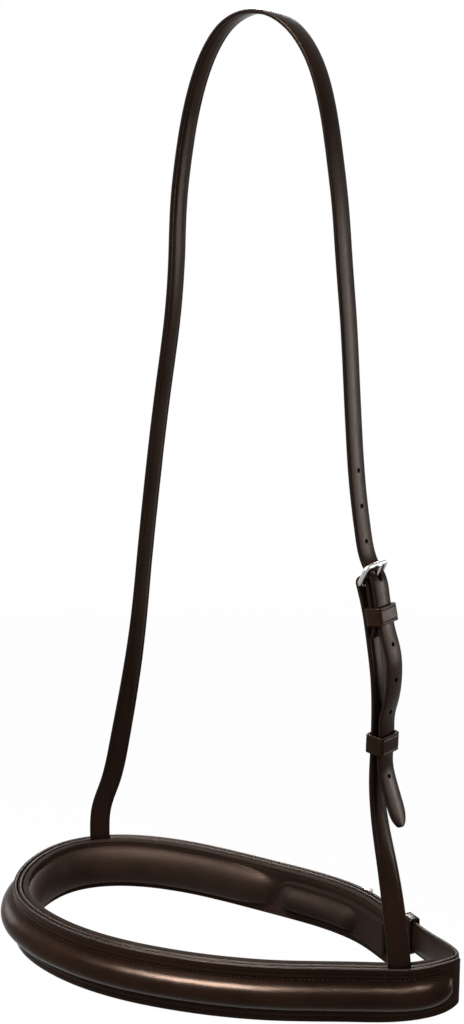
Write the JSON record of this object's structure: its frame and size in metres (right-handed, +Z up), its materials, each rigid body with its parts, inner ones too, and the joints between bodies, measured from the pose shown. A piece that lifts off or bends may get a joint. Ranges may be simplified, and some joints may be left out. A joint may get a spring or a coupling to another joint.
{
  "type": "raised padded noseband",
  "caption": "Raised padded leather noseband with a headstrap that buckles at the cheek, and a chin strap that turns back and buckles behind the jaw.",
  "frame": {"origin": "middle of the flat underside of the headstrap's crown, where it rests on the poll", "axes": "+Z up, -Y towards the horse's nose, +X towards the horse's left cheek, where the strap buckles"},
  "size_m": [0.2994, 0.1885, 0.5653],
  "materials": {
    "leather": "satin",
    "lining": "soft satin",
    "steel": "polished",
    "filler": "felt",
    "foam": "soft foam"
  },
  "bodies": {
    "noseband": {"outer_cover": "leather", "padded_lining": "lining", "raise_filler": "filler", "padding_foam": "foam", "chin_pad_back": "leather", "chin_pad_cover": "lining", "chin_pad_foam": "foam", "band_strap": "leather", "chin_buckle_chape": "leather", "chin_fixed_keeper": "leather", "chin_tail_keeper": "leather", "band_end_loop": "leather", "cheek_strap": "leather", "headstrap": "leather", "cheek_fixed_keeper": "leather"},
    "cheek_buckle": {"cheek_buckle_frame": "steel"},
    "cheek_tongue": {"cheek_buckle_tongue": "steel"},
    "chin_buckle": {"chin_buckle_frame": "steel"},
    "chin_tongue": {"chin_buckle_tongue": "steel"},
    "runner": {"cheek_runner": "leather"}
  },
  "joints": [
    {"name": "cheek_frame_hinge", "type": "hinge", "parent": "noseband", "child": "cheek_buckle", "pos_m": [0.08497, 0, -0.30411], "axis": [0, 1, 0], "range_deg": [0, 10]},
    {"name": "cheek_tongue_hinge", "type": "hinge", "parent": "cheek_buckle", "child": "cheek_tongue", "pos_m": [0.08497, 0, -0.30411], "axis": [0, 1, 0], "range_deg": [0, 6]},
    {"name": "chin_frame_hinge", "type": "hinge", "parent": "noseband", "child": "chin_buckle", "pos_m": [0.02672, 0.06275, -0.5475], "axis": [0, 0, 1], "range_deg": [0, 10]},
    {"name": "chin_tongue_hinge", "type": "hinge", "parent": "chin_buckle", "child": "chin_tongue", "pos_m": [0.02672, 0.06275, -0.5475], "axis": [0, 0, 1], "range_deg": [0, 6]},
    {"name": "runner_slide", "type": "slide", "parent": "noseband", "child": "runner", "axis": [-0.0241, 0.001, -0.9997], "range_m": [-0.01, 0.008]}
  ]
}
